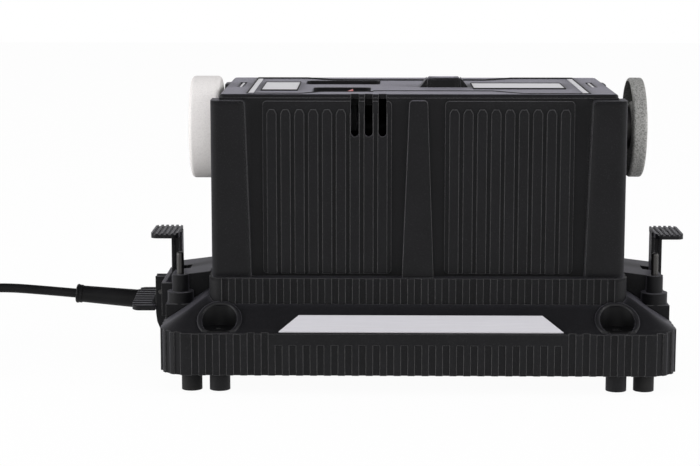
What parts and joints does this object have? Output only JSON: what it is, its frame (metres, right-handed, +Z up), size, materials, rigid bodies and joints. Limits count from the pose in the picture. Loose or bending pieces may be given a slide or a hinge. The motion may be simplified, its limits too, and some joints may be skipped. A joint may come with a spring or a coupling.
{
  "type": "wet grinding sharpener",
  "caption": "Bench sharpener with a ribbed motor housing on a wide base, a solid wheel and a diamond cup wheel on one spindle, thumb latches and a mains cord.",
  "frame": {"origin": "centre of the four bench-screw holes, in the plane of the screw tubes' lower ends", "axes": "+X along the spindle towards the diamond cup, +Y away from the front label, +Z up"},
  "size_m": [0.4668, 0.148, 0.1459],
  "materials": {
    "charcoal_plastic": "fine texture",
    "black_plastic": "satin",
    "inner_plastic": "matte",
    "red_plastic": "gloss",
    "silver_plate": "satin",
    "steel": "satin",
    "bright_steel": "polished",
    "corundum": "fine grit",
    "diamond_grit": "sparkling grit",
    "rubber": "matte",
    "cord_rubber": "satin",
    "painted_can": "satin",
    "ferrite": "matte",
    "lamination": "satin",
    "copper": "varnished",
    "bronze": "satin",
    "carbon": "matte",
    "board": "satin",
    "plug_brass": "nickel plated"
  },
  "bodies": {
    "frame": {"base_plate": "black_plastic", "base_screws": "steel", "base_shell": "charcoal_plastic", "board_components": "black_plastic", "board_terminals": "inner_plastic", "brush_holders": "inner_plastic", "carbon_brushes": "carbon", "coil_tie": "cord_rubber", "cord_coil": "cord_rubber", "cord_sleeve": "cord_rubber", "cover_plates": "silver_plate", "drive_belt": "rubber", "guide_pins": "steel", "housing": "charcoal_plastic", "inner_screws": "steel", "label_plate": "silver_plate", "left_bearing_carrier": "inner_plastic", "left_dock": "charcoal_plastic", "left_latch_spring": "steel", "lock_bracket": "steel", "lock_spring": "steel", "mains_plug": "cord_rubber", "motor_bushes": "bronze", "motor_can": "painted_can", "motor_cradle": "inner_plastic", "motor_end_bell": "inner_plastic", "motor_magnets": "ferrite", "motor_strap": "steel", "pivot_pins": "steel", "plinth": "charcoal_plastic", "plug_pins": "plug_brass", "power_cord": "cord_rubber", "right_bearing_carrier": "inner_plastic", "right_dock": "charcoal_plastic", "right_latch_spring": "steel", "rubber_feet": "rubber", "spindle_bearings": "steel", "supply_board": "board", "switch_body": "black_plastic", "tie_screws": "steel", "top_cover": "charcoal_plastic"},
    "spindle_unit": {"spindle": "steel", "wheel_flange": "steel", "grinding_wheel": "corundum", "wheel_nuts": "steel", "cup_hub": "bright_steel", "diamond_cup": "diamond_grit", "spindle_pulley": "inner_plastic"},
    "rotor": {"motor_shaft": "steel", "armature_core": "lamination", "armature_winding": "copper", "commutator": "copper", "cooling_fan": "inner_plastic", "motor_pulley": "inner_plastic"},
    "rocker": {"switch_rocker": "red_plastic"},
    "lock": {"lock_button": "black_plastic"},
    "left_latch": {"left_latch_lever": "black_plastic"},
    "right_latch": {"right_latch_lever": "black_plastic"},
    "thumb": {"left_thumb_lever": "black_plastic"}
  },
  "joints": [
    {"name": "spindle_spin", "type": "hinge", "parent": "frame", "child": "spindle_unit", "pos_m": [0, 0, 0.1189], "axis": [1, 0, 0], "continuous": true},
    {"name": "motor_spin", "type": "hinge", "parent": "frame", "child": "rotor", "pos_m": [0, 0, 0.079], "axis": [1, 0, 0], "continuous": true},
    {"name": "rocker_tilt", "type": "hinge", "parent": "frame", "child": "rocker", "pos_m": [-0.037, -0.021, 0.1353], "axis": [0, 1, 0], "range_deg": [0, 24]},
    {"name": "lock_press", "type": "slide", "parent": "frame", "child": "lock", "axis": [0, 0, -1], "range_m": [0, 0.0025], "stiffness_N_per_m": 400, "deforming": ["lock_spring"]},
    {"name": "left_latch_tilt", "type": "hinge", "parent": "frame", "child": "left_latch", "pos_m": [-0.12, -0.008, 0.036], "axis": [0, 1, 0], "range_deg": [0, 10], "stiffness_Nm_per_rad": 0.3, "deforming": ["left_latch_spring"]},
    {"name": "right_latch_tilt", "type": "hinge", "parent": "frame", "child": "right_latch", "pos_m": [0.12, -0.008, 0.036], "axis": [0, -1, 0], "range_deg": [0, 10], "stiffness_Nm_per_rad": 0.3, "deforming": ["right_latch_spring"]},
    {"name": "thumb_lift", "type": "hinge", "parent": "frame", "child": "thumb", "pos_m": [-0.1286, -0.008, 0.0365], "axis": [0, 1, 0], "range_deg": [0, 30]}
  ],
  "couplings": [
    {"joint": "motor_spin", "follows": "spindle_spin", "ratio": 2}
  ]
}
